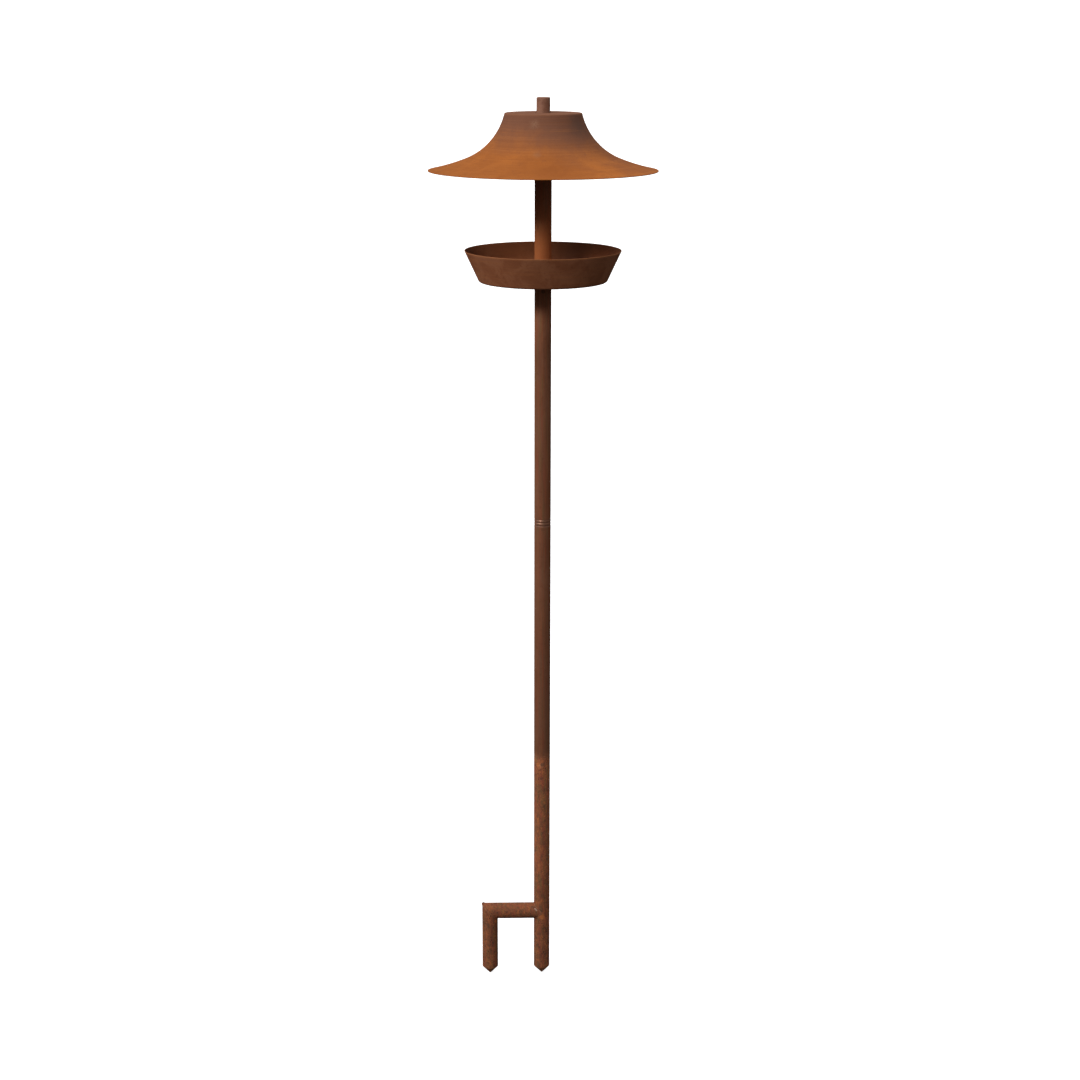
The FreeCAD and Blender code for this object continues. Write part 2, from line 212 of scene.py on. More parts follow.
class Rust:
    """One rust material under construction. Grain sizes are in millimetres on the object."""

    def __init__(self, name, specular):
        self.material = bpy.data.materials.new(name)
        self.material.use_nodes = True
        self.tree = self.material.node_tree
        self.shader = self.tree.nodes["Principled BSDF"]
        self.shader.inputs["Specular IOR Level"].default_value = specular
        self.place = self.tree.nodes.new("ShaderNodeTexCoord").outputs["Object"]
        split = self.tree.nodes.new("ShaderNodeSeparateXYZ")
        self.put(self.place, split.inputs[0])
        self.x, self.y, self.z = split.outputs

    def put(self, value, socket):
        if isinstance(value, bpy.types.NodeSocket):
            self.tree.links.new(value, socket)
        else:
            socket.default_value = value

    def sum(self, operation, *values):
        node = self.tree.nodes.new("ShaderNodeMath")
        node.operation = operation
        for value, socket in zip(values, node.inputs):
            self.put(value, socket)
        return node.outputs[0]

    def fade(self, value, start, end, low=0.0, high=1.0):
        """A smooth step from low to high as value goes from start to end."""
        node = self.tree.nodes.new("ShaderNodeMapRange")
        node.interpolation_type = "SMOOTHSTEP"
        for given, name in ((value, "Value"), (start, "From Min"), (end, "From Max"),
                            (low, "To Min"), (high, "To Max")):
            self.put(given, node.inputs[name])
        return node.outputs["Result"]

    def spread(self, stretch=(1, 1, 1), shift=(0, 0, 0)):
        """Coordinates in millimetres, pulled out along an axis to make streaks or bands."""
        node = self.tree.nodes.new("ShaderNodeVectorMath")
        node.operation = "MULTIPLY_ADD"
        self.put(self.place, node.inputs[0])
        node.inputs[1].default_value = [1 / MM / part for part in stretch]
        node.inputs[2].default_value = shift
        return node.outputs[0]

    def radius(self):
        """Distance from the pole's axis."""
        flat = self.tree.nodes.new("ShaderNodeVectorMath")
        flat.operation = "MULTIPLY"
        self.put(self.place, flat.inputs[0])
        flat.inputs[1].default_value = (1, 1, 0)
        length = self.tree.nodes.new("ShaderNodeVectorMath")
        length.operation = "LENGTH"
        self.put(flat.outputs[0], length.inputs[0])
        return length.outputs["Value"]

    def bands(self, shift=0.0, around=60.0):
        """Coordinates for a spun sheet: they change fast along its profile and slowly round it."""
        along = self.sum("SUBTRACT", self.radius(), self.z)
        join = self.tree.nodes.new("ShaderNodeCombineXYZ")
        self.put(self.sum("MULTIPLY", self.x, 1 / MM / around), join.inputs[0])
        self.put(self.sum("MULTIPLY", self.y, 1 / MM / around), join.inputs[1])
        self.put(self.sum("MULTIPLY_ADD", along, 1 / MM, shift), join.inputs[2])
        return join.outputs[0]

    def noise(self, grain, detail=4.0, rough=0.55, place=None, bend=0.0):
        node = self.tree.nodes.new("ShaderNodeTexNoise")
        self.put(place or self.spread(), node.inputs["Vector"])
        node.inputs["Scale"].default_value = 1 / grain
        node.inputs["Detail"].default_value = detail
        node.inputs["Roughness"].default_value = rough
        node.inputs["Distortion"].default_value = bend
        return node.outputs["Fac"]

    def cells(self, grain, place):
        """Distance from the nearest of many scattered points, 0 at a point."""
        node = self.tree.nodes.new("ShaderNodeTexVoronoi")
        self.put(place, node.inputs["Vector"])
        node.inputs["Scale"].default_value = 1 / grain
        return node.outputs["Distance"]

    def spot(self, centre, size, ragged=0.5, soft=0.5):
        """1 inside a ragged round patch about a point, all in millimetres, and 0 outside it."""
        apart = self.tree.nodes.new("ShaderNodeVectorMath")
        apart.operation = "DISTANCE"
        self.put(self.spread(), apart.inputs[0])
        apart.inputs[1].default_value = centre
        edge = self.noise(size * 0.8, 3, 0.6)
        away = self.sum("MULTIPLY_ADD", edge, -2 * ragged * size, apart.outputs["Value"])
        inner = size * (1 - soft) - ragged * size
        return self.fade(away, size - ragged * size, inner)

    def spots(self, *places):
        """Several spots in one value; each place holds what spot takes."""
        found = self.spot(*places[0])
        for place in places[1:]:
            found = self.sum("MAXIMUM", found, self.spot(*place))
        return found

    def mix(self, share, first, second):
        node = self.tree.nodes.new("ShaderNodeMix")
        node.data_type = "RGBA"
        self.put(share, node.inputs["Factor"])
        for value, socket in ((first, node.inputs[6]), (second, node.inputs[7])):
            self.put(value if isinstance(value, bpy.types.NodeSocket) else (*value, 1), socket)
        return node.outputs[2]

    def shade(self, colour, light):
        """The colour made lighter or darker by a number that is about 1."""
        node = self.tree.nodes.new("ShaderNodeVectorMath")
        node.operation = "SCALE"
        self.put(colour, node.inputs[0])
        self.put(light, node.inputs["Scale"])
        return node.outputs[0]

    def finish(self, colour, roughness, heights):
        """Heights are (value, depth in millimetres) pairs that add up to the fine relief."""
        self.put(colour, self.shader.inputs["Base Color"])
        self.put(roughness, self.shader.inputs["Roughness"])
        total = None
        for value, depth in heights:
            part = self.sum("MULTIPLY", value, depth * MM)
            total = part if total is None else self.sum("ADD", total, part)
        bump = self.tree.nodes.new("ShaderNodeBump")
        bump.inputs["Strength"].default_value = 1.0
        bump.inputs["Distance"].default_value = 1.0
        self.put(total, bump.inputs["Height"])
        self.put(bump.outputs[0], self.shader.inputs["Normal"])
        return self.material


def pole_rust():
    """Smooth dark brown rust on drawn tube: long faint streaks, a few blooms, and painted orange light under
    the roof.
    """
    rust = Rust("pole_rust", 0.13)
    streaks = rust.noise(2.6, 3, 0.6, rust.spread((1, 1, 26)))
    threads = rust.noise(0.8, 2, 0.6, rust.spread((1, 1, 60), (7, 3, 0)))
    clouds = rust.noise(38, 4, 0.6, rust.spread((1, 1, 2.2)), 0.6)
    mottle = rust.noise(5, 5, 0.65)
    grain = rust.noise(0.45, 3, 0.6)
    colour = rust.mix(rust.fade(clouds, 0.35, 0.65), (0.168, 0.058, 0.027), (0.198, 0.082, 0.044))
    colour = rust.mix(rust.fade(streaks, 0.42, 0.66, 0, 0.55), colour, (0.250, 0.084, 0.034))
    colour = rust.mix(rust.fade(threads, 0.52, 0.72, 0, 0.35), colour, (0.200, 0.104, 0.066))
    tints = rust.noise(3.8, 3, 0.6, rust.spread((1, 1, 16), (2, 6, 4)))
    colour = rust.mix(rust.fade(tints, 0.52, 0.66, 0, 0.45), colour, (0.235, 0.062, 0.030))
    colour = rust.mix(rust.fade(tints, 0.46, 0.34, 0, 0.45), colour, (0.155, 0.088, 0.036))
    colour = rust.mix(rust.fade(mottle, 0.56, 0.70, 0, 0.40), colour, (0.115, 0.041, 0.020))
    blotch = rust.spot((-3, -10, MIDDLE_TOP - 22), 10, 0.7, 0.8)
    colour = rust.mix(rust.sum("MULTIPLY", blotch, 0.35), colour, (0.230, 0.080, 0.036))
    # The next two, and the orange between tray and roof, stand in for light and not for other rust.
    darker = rust.fade(rust.z, (MIDDLE_TOP + 40) * MM, (FORK_TOP + 40) * MM, 1.08, 0.88)
    near_tray = rust.fade(rust.z, (TRAY_LOW - 100) * MM, (TRAY_LOW - 30) * MM, 1.0, 1.52)
    colour = rust.shade(colour, rust.sum("MULTIPLY", darker, near_tray))
    joint = rust.sum("MULTIPLY_ADD", mottle, -14 * MM, rust.z)
    near_joint = rust.fade(joint, FORK_TOP * MM, (FORK_TOP - 8) * MM)
    colour = rust.mix(rust.sum("MULTIPLY", near_joint, 0.8), colour, (0.250, 0.092, 0.042))
    below_roof = rust.fade(rust.z, (TRAY_HIGH + 85) * MM, (TRAY_HIGH + 5) * MM)
    above_tray = rust.fade(rust.z, (TRAY_LOW - 0.5) * MM, (TRAY_LOW + 0.5) * MM)
    between = rust.sum("MULTIPLY", below_roof, above_tray)
    colour = rust.mix(rust.sum("MULTIPLY", between, 0.9), colour, BLOOM_AND_LIGHT_ORANGE)
    colour = rust.shade(colour, rust.fade(grain, 0.3, 0.7, 0.90, 1.10))
    rings = ring_band(rust)
    colour = rust.mix(rust.sum("MULTIPLY", rings, 0.30), colour, (0.150, 0.080, 0.064))
    # Painted highlight on the up-facing lower face of each groove and painted shade on its down-facing upper
    # face, strongest in a patch at the front left where the glint falls. The metallic and lower roughness
    # there stand for barer steel.
    turn = rust.sum("MULTIPLY_ADD", rust.z, -1 / MM / GROOVE_PITCH, MIDDLE_TOP / GROOVE_PITCH)
    turn = rust.sum("FRACT", turn)
    rubbed_and_lit = rust.spot((-3, -TUBE, MIDDLE_TOP - 3), 7, 0.5, 0.7)
    rubbed_and_lit = rust.sum("MULTIPLY", rings, rust.sum("MULTIPLY_ADD", rubbed_and_lit, 0.85, 0.15))
    bare_and_highlight = rust.sum("MULTIPLY", rubbed_and_lit, rust.fade(turn, 0.34, 0.24))
    down_face_shade = rust.sum("MULTIPLY", rubbed_and_lit, rust.fade(turn, 0.66, 0.76))
    colour = rust.mix(rust.sum("MULTIPLY", bare_and_highlight, 0.70), colour, (0.430, 0.235, 0.155))
    colour = rust.mix(rust.sum("MULTIPLY", down_face_shade, 0.45), colour, (0.070, 0.036, 0.024))
    rust.put(rust.sum("MULTIPLY", bare_and_highlight, 0.45), rust.shader.inputs["Metallic"])
    roughness = rust.fade(mottle, 0.3, 0.7, 0.64, 0.82)
    roughness = rust.sum("MULTIPLY_ADD", rings, -0.12, roughness)
    roughness = rust.sum("MULTIPLY_ADD", bare_and_highlight, -0.24, roughness)
    return rust.finish(colour, roughness, ((streaks, 0.035), (mottle, 0.05), (grain, 0.035)))


def ring_band(rust):
    """1 on the turned rings below the upper joint, where the steel is barer and smoother."""
    ragged = rust.sum("MULTIPLY_ADD", rust.noise(3.0), 2.0 * MM, rust.z)
    low, high = (MIDDLE_TOP - 9.5) * MM, (MIDDLE_TOP + 1.2) * MM
    above = rust.fade(ragged, low - 0.8 * MM, low + 0.8 * MM)
    below = rust.fade(ragged, high + 0.8 * MM, high - 0.8 * MM)
    return rust.sum("MULTIPLY", above, below)


def fork_rust():
    """Rough rust that has stood in soil: dark pits, orange blooms and crusty grain."""
    rust = Rust("fork_rust", 0.16)
    clouds = rust.noise(15, 4, 0.6, None, 0.4)
    mottle = rust.noise(4.2, 5, 0.70, rust.spread((1, 1, 1.7)))
    crust = rust.noise(1.8, 4, 0.7)
    streaks = rust.noise(3.0, 4, 0.65, rust.spread((1, 1, 5), (3, 9, 1)))
    threads = rust.noise(3.4, 3, 0.6, rust.spread((1, 1, 7), (5, 2, 8)))
    pits = rust.cells(3.4, rust.spread((1, 1, 1.2)))
    specks = rust.cells(1.7, rust.spread((1, 1, 1), (11, 5, 3)))
    grain = rust.noise(0.4, 3, 0.65)
    colour = rust.mix(rust.fade(clouds, 0.40, 0.60), (0.190, 0.072, 0.034), (0.285, 0.093, 0.040))
    colour = rust.mix(rust.fade(streaks, 0.50, 0.66, 0, 0.50), colour, (0.360, 0.112, 0.045))
    colour = rust.mix(rust.fade(streaks, 0.48, 0.34, 0, 0.50), colour, (0.120, 0.062, 0.034))
    colour = rust.mix(rust.fade(threads, 0.50, 0.64, 0, 0.55), colour, (0.260, 0.062, 0.036))
    colour = rust.mix(rust.fade(threads, 0.46, 0.34, 0, 0.55), colour, (0.170, 0.102, 0.040))
    colour = rust.mix(rust.fade(mottle, 0.53, 0.66, 0, 0.62), colour, BLOOM_AND_LIGHT_ORANGE)
    colour = rust.mix(rust.fade(mottle, 0.47, 0.34, 0, 0.62), colour, (0.105, 0.052, 0.031))
    deep = rust.fade(pits, 0.34, 0.12)
    low_end = rust.fade(rust.z, (FORK_CALM_LOW + 10) * MM, (FORK_CALM_LOW - 30) * MM)
    high_end = rust.fade(rust.z, (FORK_CALM_HIGH - 5) * MM, (FORK_CALM_HIGH + 35) * MM)
    worn = rust.sum("MAXIMUM", low_end, high_end)
    pitted = rust.sum("MULTIPLY", deep, rust.sum("MULTIPLY_ADD", worn, 0.70, 0.10))
    colour = rust.mix(pitted, colour, (0.055, 0.029, 0.021))
    colour = rust.mix(rust.fade(specks, 0.22, 0.08, 0, 0.5), colour, (0.460, 0.155, 0.048))
    orange_spots = rust.spots(
        ((-0.5, -TUBE, 6), 5.5, 0.5, 0.6),
        ((8 - PRONG_SPACING, -6, -2), 4.5, 0.5, 0.6),
        ((-4, -TUBE, FORK_TOP - 13), 6, 0.8, 0.7),
    )
    colour = rust.mix(rust.sum("MULTIPLY", orange_spots, 0.75), colour, (0.480, 0.150, 0.045))
    # Painted highlight along the edge of the weld bead at the stem.
    colour = rust.mix(rust.sum("MULTIPLY", bead_highlight(rust), 0.60), colour, BEAD_HIGHLIGHT_COLOUR)
    ring = rust.spot((-2, -TUBE, FORK_TOP - PLUG_DROP - 2), 4.5, 0.4, 0.6)
    colour = rust.mix(rust.sum("MULTIPLY", ring, 0.45), colour, (0.330, 0.150, 0.085))
    joint = rust.sum("MULTIPLY_ADD", mottle, 16 * MM, rust.z)
    near_joint = rust.fade(joint, (FORK_TOP + 1) * MM, (FORK_TOP + 11) * MM)
    colour = rust.mix(rust.sum("MULTIPLY", near_joint, 0.75), colour, (0.150, 0.066, 0.036))
    colour = rust.shade(colour, rust.fade(crust, 0.3, 0.7, 0.74, 1.22))
    # The lighter points and upper stem stand in for light and not for other rust.
    points = rust.fade(rust.z, (POINT_SHOULDER + 1) * MM, (POINT_SHOULDER - 1) * MM, 1.0, 1.45)
    upper_stem = rust.fade(rust.z, 30 * MM, 150 * MM, 1.0, 1.20)
    colour = rust.shade(colour, rust.sum("MULTIPLY", points, upper_stem))
    roughness = rust.fade(crust, 0.3, 0.7, 0.76, 0.92)
    deepness = rust.sum("MULTIPLY", deep, -1.0)
    return rust.finish(colour, roughness, ((mottle, 0.16), (crust, 0.12), (grain, 0.05), (deepness, 0.14)))


def bead_highlight(rust):
    """A short painted highlight streak on the crossbar, along the edge of its weld bead beside the stem."""
    centres = ((-9.6, -9.4, 17.4), (-8.6, -9.8, 16.3), (-7.6, -10.1, 15.2))
    return rust.spots(*((centre, 1.5, 0.3, 0.6) for centre in centres))


def roof_rust():
    """Matt rust on a spun sheet: bright orange on the flare, grey-brown towards the crown."""
    rust = Rust("roof_rust", 0.09)
    bands = rust.noise(2.6, 3, 0.6, rust.bands())
    wide_bands = rust.noise(9, 2, 0.5, rust.bands(40.0, 140.0))
    clouds = rust.noise(42, 4, 0.6, None, 0.5)
    mottle = rust.noise(6, 5, 0.66)
    freckles = rust.noise(1.6, 4, 0.7)
    grain = rust.noise(0.5, 3, 0.6)
    low, high = ROOF_LOW * MM, ROOF_HIGH * MM
    # The brown comes further down on the right than on the left.
    slope = rust.sum("MULTIPLY_ADD", rust.x, 0.13, rust.z)
    wander = rust.sum("MULTIPLY_ADD", clouds, 0.030, slope)
    wander = rust.sum("MULTIPLY_ADD", mottle, 0.010, wander)
    rise = high - low
    brown = rust.fade(wander, low + 0.38 * rise, low + 1.12 * rise)
    orange = rust.mix(rust.fade(clouds, 0.4, 0.6), (0.470, 0.148, 0.030), (0.415, 0.128, 0.027))
    colour = rust.mix(brown, orange, (0.225, 0.096, 0.056))
    colour = rust.mix(rust.fade(bands, 0.52, 0.70, 0, 0.30), colour, (0.520, 0.185, 0.050))
    colour = rust.mix(rust.fade(bands, 0.46, 0.30, 0, 0.28), colour, (0.255, 0.080, 0.026))
    colour = rust.mix(rust.fade(wide_bands, 0.55, 0.70, 0, 0.25), colour, (0.340, 0.102, 0.027))
    colour = rust.mix(rust.fade(freckles, 0.60, 0.72, 0, 0.40), colour, (0.215, 0.072, 0.028))
    colour = rust.mix(rust.fade(mottle, 0.56, 0.70, 0, 0.25), colour, (0.200, 0.085, 0.052))
    stain = rust.spot((-12, -48, ROOF_HIGH - 13), 9, 0.6, 0.9)
    stain = rust.sum("MULTIPLY", stain, rust.fade(freckles, 0.38, 0.58))
    scuff = rust.spot((-10, -80, ROOF_LOW + 26), 9, 0.6, 0.9)
    pale = rust.sum("MAXIMUM", rust.sum("MULTIPLY", stain, 0.60), rust.sum("MULTIPLY", scuff, 0.22))
    colour = rust.mix(pale, colour, (0.360, 0.205, 0.125))
    # The next two patches and the fade from left to right stand in for shading.
    shadowy = rust.spot((41, -30, ROOF_HIGH - 15), 26, 0.5, 0.9)
    colour = rust.mix(rust.sum("MULTIPLY", shadowy, 0.60), colour, (0.125, 0.075, 0.058))
    darker = rust.spot((6, -118, ROOF_LOW + 14), 58, 0.35, 0.9)
    colour = rust.mix(rust.sum("MULTIPLY", darker, 0.62), colour, (0.300, 0.088, 0.020))
    colour = rust.shade(colour, rust.fade(rust.x, -120 * MM, 120 * MM, 0.88, 1.08))
    crown_edge = rust.fade(rust.z, high - 3.0 * MM, high - 1.0 * MM)
    colour = rust.mix(rust.sum("MULTIPLY", crown_edge, 0.35), colour, (0.300, 0.130, 0.070))
    colour = rust.shade(colour, rust.fade(grain, 0.3, 0.7, 0.92, 1.08))
    roughness = rust.fade(mottle, 0.3, 0.7, 0.78, 0.90)
    return rust.finish(colour, roughness, ((bands, 0.035), (mottle, 0.06), (freckles, 0.03), (grain, 0.03)))


def tray_rust():
    """Matt dark brown rust on a spun dish, a little more orange along the rim."""
    rust = Rust("tray_rust", 0.12)
    bands = rust.noise(2.2, 3, 0.6, rust.bands(90.0))
    clouds = rust.noise(26, 4, 0.6, None, 0.5)
    mottle = rust.noise(5, 5, 0.66)
    freckles = rust.noise(1.4, 4, 0.7)
    grain = rust.noise(0.45, 3, 0.6)
    colour = rust.mix(rust.fade(clouds, 0.38, 0.62), (0.280, 0.094, 0.040), (0.340, 0.126, 0.058))
    colour = rust.mix(rust.fade(bands, 0.50, 0.70, 0, 0.35), colour, (0.400, 0.142, 0.049))
    colour = rust.mix(rust.fade(mottle, 0.56, 0.70, 0, 0.45), colour, (0.205, 0.068, 0.030))
    top = rust.sum("MULTIPLY_ADD", mottle, 0.003, rust.z)
    rim = rust.fade(top, (TRAY_HIGH - 1.5) * MM, (TRAY_HIGH + 1) * MM)
    colour = rust.mix(rust.sum("MULTIPLY", rim, 0.55), colour, (0.480, 0.185, 0.075))
    colour = rust.mix(rust.fade(freckles, 0.60, 0.72, 0, 0.35), colour, (0.160, 0.060, 0.029))
    # The inside is darker and more saturated: painted shade, with the warm tint of light bounced inside the
    # dish. Its dark patch at the back right stands in for a shadow.
    wall_lean = (TRAY_RIM_RADIUS - TRAY_FLOOR_RADIUS) / (TRAY_HIGH - TRAY_LOW)
    from_floor = rust.sum("MULTIPLY_ADD", rust.z, -wall_lean, TRAY_LOW * MM * wall_lean)
    across = rust.sum("ADD", rust.radius(), from_floor)
    on_wall = rust.fade(across, (TRAY_FLOOR_RADIUS - 0.6) * MM, (TRAY_FLOOR_RADIUS - 0.9) * MM)
    on_floor = rust.fade(rust.z, (TRAY_LOW + 0.5) * MM, (TRAY_LOW + 0.8) * MM)
    inside = rust.sum("MULTIPLY", on_wall, on_floor)
    colour = rust.mix(rust.sum("MULTIPLY", inside, 0.40), colour, (0.210, 0.062, 0.016))
    shadow = rust.sum("MULTIPLY", inside, rust.spot((38, 84, TRAY_HIGH - 16), 66, 0.3, 0.9))
    colour = rust.mix(rust.sum("MULTIPLY", shadow, 0.75), colour, (0.070, 0.026, 0.012))
    colour = rust.shade(colour, rust.fade(grain, 0.3, 0.7, 0.91, 1.09))
    roughness = rust.fade(mottle, 0.3, 0.7, 0.74, 0.88)
    return rust.finish(colour, roughness, ((bands, 0.03), (mottle, 0.06), (freckles, 0.03), (grain, 0.03)))


def spigot_rust():
    """Turned pins: thin brown rust over fine tool rings."""
    rust = Rust("spigot_rust", 0.30)
    rings = rust.noise(0.5, 2, 0.5, rust.spread((12, 12, 1)))
    clouds = rust.noise(8, 4, 0.6)
    mottle = rust.noise(2.5, 5, 0.66)
    grain = rust.noise(0.4, 3, 0.6)
    colour = rust.mix(rust.fade(clouds, 0.38, 0.62), (0.235, 0.100, 0.058), (0.300, 0.140, 0.086))
    colour = rust.mix(rust.fade(mottle, 0.55, 0.68, 0, 0.5), colour, (0.180, 0.070, 0.038))
    colour = rust.mix(rust.fade(rings, 0.5, 0.7, 0, 0.3), colour, (0.350, 0.185, 0.120))
    colour = rust.shade(colour, rust.fade(grain, 0.3, 0.7, 0.9, 1.1))
    roughness = rust.fade(mottle, 0.3, 0.7, 0.55, 0.75)
    return rust.finish(colour, roughness, ((rings, 0.03), (mottle, 0.04), (grain, 0.03)))


def weld_rust():
    """Weld metal: brown ripples with orange in the hollows, darker and more even up the pole."""
    rust = Rust("weld_rust", 0.20)
    clouds = rust.noise(3.5, 4, 0.6)
    mottle = rust.noise(1.2, 5, 0.66)
    grain = rust.noise(0.35, 3, 0.6)
    colour = rust.mix(rust.fade(clouds, 0.4, 0.6), (0.210, 0.080, 0.040), (0.280, 0.112, 0.056))
    colour = rust.mix(rust.fade(mottle, 0.52, 0.66, 0, 0.7), colour, (0.400, 0.130, 0.044))
    colour = rust.mix(rust.fade(mottle, 0.46, 0.34, 0, 0.6), colour, (0.105, 0.050, 0.032))
    colour = rust.mix(rust.fade(rust.z, 60 * MM, 120 * MM, 0.0, 0.7), colour, (0.195, 0.084, 0.044))
    on_pole = rust.fade(rust.z, (FORK_TOP + 10) * MM, (FORK_TOP + 30) * MM)
    colour = rust.mix(on_pole, colour, (0.190, 0.072, 0.034))
    # Painted highlight along the edge of the weld bead at the stem.
    colour = rust.mix(rust.sum("MULTIPLY", bead_highlight(rust), 0.60), colour, BEAD_HIGHLIGHT_COLOUR)
    colour = rust.shade(colour, rust.fade(grain, 0.3, 0.7, 0.86, 1.12))
    roughness = rust.fade(mottle, 0.3, 0.7, 0.60, 0.82)
    return rust.finish(colour, roughness, ((mottle, 0.08), (grain, 0.04)))


# ---------------------------------------------------------------- mesh tools, in millimetres

EPSILON = 1e-6
ROUNDING_STEP = math.radians(22)
SMOOTH_UP_TO = math.radians(38)
BEAD_SIDES = 12
HOLE_SIDES = 48


def run(start, end, step):
    """Points from start up to, but not including, end."""
    length = math.dist(start, end)
    count = max(1, round(length / step))
    return [tuple(a + (b - a) * index / count for a, b in zip(start, end)) for index in range(count)]


def sweep(centre, radius, first, last, step):
    """Points along an arc, both ends included. Angles are in radians from the outward direction."""
    count = max(2, round(abs(last - first) * radius / step))
    angles = [first + (last - first) * index / count for index in range(count + 1)]
    return [(centre[0] + radius * math.cos(a), centre[1] + radius * math.sin(a)) for a in angles]


def rounded(before, corner, after, radius):
    """The short arc that rounds one corner of an outline."""
    if radius < EPSILON:
        return [corner]
    first = Vector(before) - Vector(corner)
    second = Vector(after) - Vector(corner)
    first.normalize()
    second.normalize()
    half = first.angle(second) / 2
    reach = radius / math.tan(half)
    centre = Vector(corner) + (first + second).normalized() * (radius / math.sin(half))
    start = Vector(corner) + first * reach - centre
    turn = math.pi - 2 * half
    if start.x * (second * reach - first * reach).y - start.y * (second * reach - first * reach).x < 0:
        turn = -turn
    count = max(1, round(abs(turn) / ROUNDING_STEP))
    points = []
    for index in range(count + 1):
        angle = turn * index / count
        x = start.x * math.cos(angle) - start.y * math.sin(angle)
        y = start.x * math.sin(angle) + start.y * math.cos(angle)
        points.append((centre.x + x, centre.y + y))
    return points


def outline(corners):
    """An outline of (radius, height, rounding, step) corners; step is the spacing up to the next one."""
    points = []
    count = len(corners)
    arcs = []
    for index, (radius, height, rounding, _) in enumerate(corners):
        before, after = corners[index - 1][:2], corners[(index + 1) % count][:2]
        arcs.append(rounded(before, (radius, height), after, rounding))
    for index, arc in enumerate(arcs):
        points += arc[:-1]
        if radius_of(arc[-1]) < EPSILON and radius_of(arcs[(index + 1) % count][0]) < EPSILON:
            points.append(arc[-1])
            continue
        points += run(arc[-1], arcs[(index + 1) % count][0], corners[index][3])
    return points


def radius_of(point):
    return point[0]


def lathe(loop, segments, across=0.0):
    """Turn a closed outline about a vertical axis at x = across. Points on the axis become one."""
    points, rings = [], []
    for radius, height in loop:
        start = len(points)
        if radius < EPSILON:
            points.append((across, 0.0, height))
        else:
            for index in range(segments):
                angle = TAU * index / segments
                points.append((across + radius * math.cos(angle), radius * math.sin(angle), height))
        rings.append(range(start, len(points)))
    faces = []
    for lower, upper in zip(rings, rings[1:] + rings[:1]):
        if len(lower) == 1 and len(upper) == 1:
            continue
        for index in range(segments):
            after = (index + 1) % segments
            if len(lower) == 1:
                faces.append((lower[0], upper[after], upper[index]))
            elif len(upper) == 1:
                faces.append((lower[index], lower[after], upper[0]))
            else:
                faces.append((lower[index], lower[after], upper[after], upper[index]))
    return points, faces


def pipe(base, along, up, radii, start, end, columns, rows):
    """A straight tube whose end distances depend on the angle and radius, as at a mitre or saddle."""
    side = up.cross(along)
    points = []
    for radius, count in zip(radii, rows):
        for row in range(count + 1):
            for column in range(columns):
                angle = TAU * column / columns
                near, far = start(angle, radius), end(angle, radius)
                distance = near + (far - near) * row / count
                spoke = up * math.cos(angle) + side * math.sin(angle)
                points.append(base + along * distance + spoke * radius)
    outer_rows, inner_rows = rows
    inner_start = (outer_rows + 1) * columns
    strips = [(row * columns, (row + 1) * columns) for row in range(outer_rows)]
    strips += [(inner_start + row * columns, inner_start + (row + 1) * columns) for row in range(inner_rows)]
    strips += [(0, inner_start), (outer_rows * columns, inner_start + inner_rows * columns)]
    faces = []
    for first, second in strips:
        for column in range(columns):
            after = (column + 1) % columns
            faces.append((first + column, first + after, second + after, second + column))
    return points, faces


def bead(path, outward, width, height, pitch):
    """A weld bead along a closed path: flat, rippled, with crescent ripples across it."""
    count = len(path)
    points, travelled = [], 0.0
    for index in range(count):
        here, before, after = path[index], path[index - 1], path[(index + 1) % count]
        travelled += (here - before).length
        out = outward[index]
        across = (after - before).cross(out).normalized()
        for corner in range(BEAD_SIDES):
            angle = TAU * corner / BEAD_SIDES
            phase = travelled / pitch + 0.25 * math.cos(angle) ** 2
            ripple = 0.80 + 0.20 * math.cos(TAU * phase) + 0.10 * noise.noise(here / 3)
            wander = 1 + 0.15 * noise.noise(here / 2)
            rise = out * (height * ripple * math.sin(angle))
            points.append(here + rise + across * (width / 2 * wander * math.cos(angle)))
    faces = []
    for index in range(count):
        first, second = index * BEAD_SIDES, (index + 1) % count * BEAD_SIDES
        for corner in range(BEAD_SIDES):
            after = (corner + 1) % BEAD_SIDES
            faces.append((first + corner, first + after, second + after, second + corner))
    return points, faces


def joined(*shapes):
    points, faces = [], []
    for more_points, more_faces in shapes:
        shift = len(points)
        points += more_points
        faces += [tuple(index + shift for index in face) for face in more_faces]
    return points, faces


def add_piece(node, shape, relief=None, cutters=()):
    """Make the detailed piece that stands for a CAD node. Relief is how far a point goes inward."""
    points, faces = shape
    mesh = bpy.data.meshes.new(f"rusted_{node}")
    mesh.from_pydata([tuple(point) for point in points], [], faces)
    made = bmesh.new()
    made.from_mesh(mesh)
    bmesh.ops.recalc_face_normals(made, faces=made.faces)
    made.normal_update()
    if relief:
        depths = [relief(vertex.co) for vertex in made.verts]
        for vertex, depth in zip(made.verts, depths):
            vertex.co -= vertex.normal * depth
    bmesh.ops.scale(made, vec=(MM, MM, MM), verts=made.verts)
    made.to_mesh(mesh)
    made.free()
    piece = bpy.data.objects.new(f"rusted_{node}", mesh)
    bpy.context.scene.collection.objects.link(piece)
    mesh.materials.append(MATERIALS[slot_of[node]])
    for cutter in cutters:
        cut_with(piece, cutter)
    piece.data.shade_smooth()
    piece.data.set_sharp_from_angle(angle=SMOOTH_UP_TO)
    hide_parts(node)
    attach(piece, body_of[node])
    return piece


